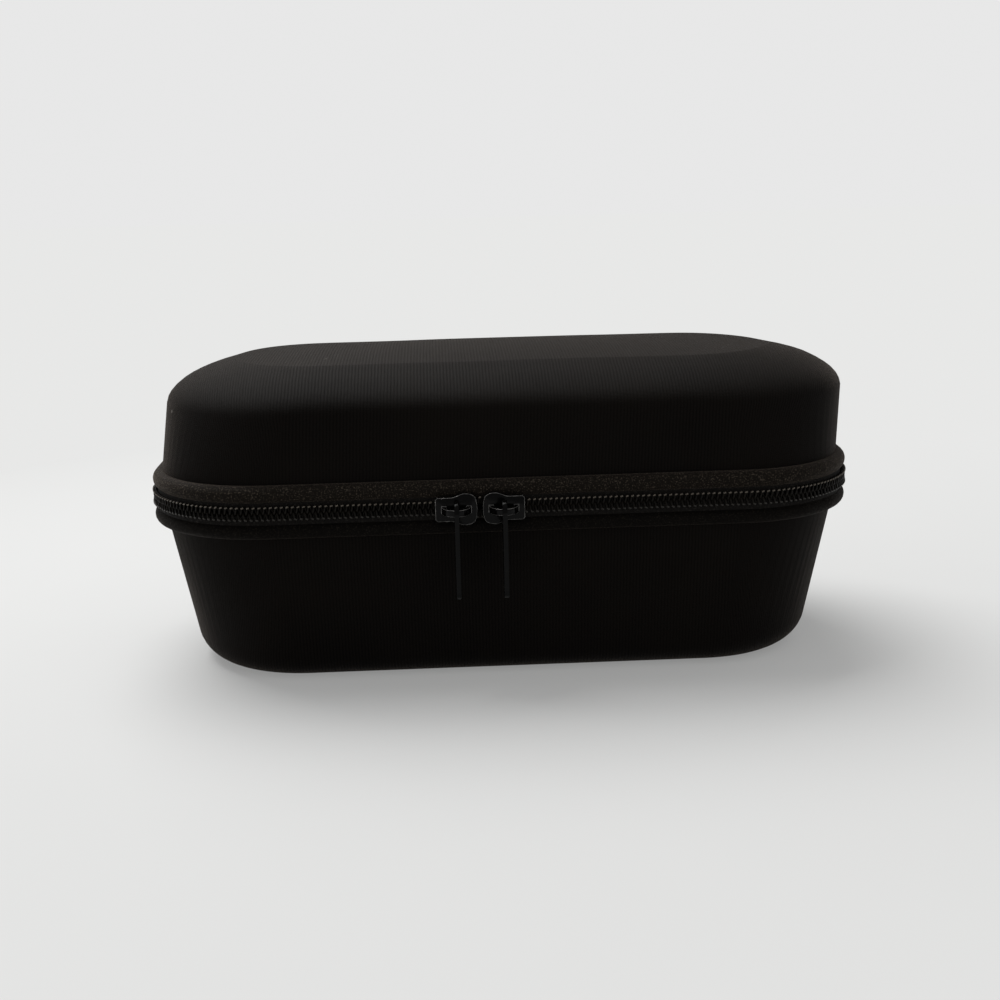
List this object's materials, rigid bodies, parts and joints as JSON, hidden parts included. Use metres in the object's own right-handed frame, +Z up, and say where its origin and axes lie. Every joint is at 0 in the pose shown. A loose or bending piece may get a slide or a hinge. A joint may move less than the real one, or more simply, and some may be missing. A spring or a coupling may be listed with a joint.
{
  "type": "electric shaver case",
  "caption": "Zipped hard case with a rounded lid and a tapered base. A coil zip with sliders that meet nose to nose runs round it, and a fabric hinge joins it along the back.",
  "frame": {"origin": "middle of the underside", "axes": "+X along the length to the right, +Z up, -Y towards the front, where the sliders meet"},
  "size_m": [0.1904, 0.1028, 0.0835],
  "materials": {
    "shell_cloth": "ribbed knit bonded to moulded foam, warm near-black",
    "lining_cloth": "short brushed lining",
    "tape_cloth": "woven tape and stretch binding",
    "coil_nylon": "satin nylon monofilament",
    "foam": "cut foam with a soft skin",
    "divider_cloth": "brushed cloth over foam",
    "hook_tape": "hook tape",
    "net": "knitted net",
    "elastic": "woven elastic",
    "slider_metal": "black paint on die-cast zinc, lightly worn at the edges"
  },
  "bodies": {
    "base": {"base_shell": "shell_cloth", "base_lining": "lining_cloth", "base_binding": "tape_cloth", "base_zip_tape": "tape_cloth", "base_coil": "coil_nylon", "foam_cradle": "foam", "divider": "divider_cloth", "divider_hook_tapes": "hook_tape", "hinge_fabric": "tape_cloth", "hinge_lining": "lining_cloth"},
    "lid": {"lid_shell": "shell_cloth", "lid_lining": "lining_cloth", "lid_binding": "tape_cloth", "lid_zip_tape": "tape_cloth", "lid_coil": "coil_nylon", "pocket_net": "net", "pocket_elastic": "elastic", "pocket_binding": "tape_cloth"},
    "left_slider": {"left_slider": "slider_metal"},
    "left_pull_tab": {"left_pull_tab": "slider_metal"},
    "right_slider": {"right_slider": "slider_metal"},
    "right_pull_tab": {"right_pull_tab": "slider_metal"}
  },
  "joints": [
    {"name": "lid_hinge", "type": "hinge", "parent": "base", "child": "lid", "pos_m": [0, 0.04555, 0.0485], "axis": [-1, 0, 0], "range_deg": [0, 125], "deforming": ["hinge_fabric", "hinge_lining"]},
    {"name": "left_slider_slide", "type": "slide", "parent": "base", "child": "left_slider", "axis": [-1, 0, 0], "range_m": [0, 0.043], "deforming": ["base_coil", "lid_coil"]},
    {"name": "right_slider_slide", "type": "slide", "parent": "base", "child": "right_slider", "axis": [1, 0, 0], "range_m": [0, 0.057], "deforming": ["base_coil", "lid_coil"]},
    {"name": "left_tab_swing", "type": "hinge", "parent": "left_slider", "child": "left_pull_tab", "pos_m": [-0.01305, -0.0528, 0.0485], "axis": [-1, 0, 0], "range_deg": [-15, 160]},
    {"name": "right_tab_swing", "type": "hinge", "parent": "right_slider", "child": "right_pull_tab", "pos_m": [-0.00095, -0.0528, 0.0485], "axis": [-1, 0, 0], "range_deg": [-15, 160]}
  ]
}
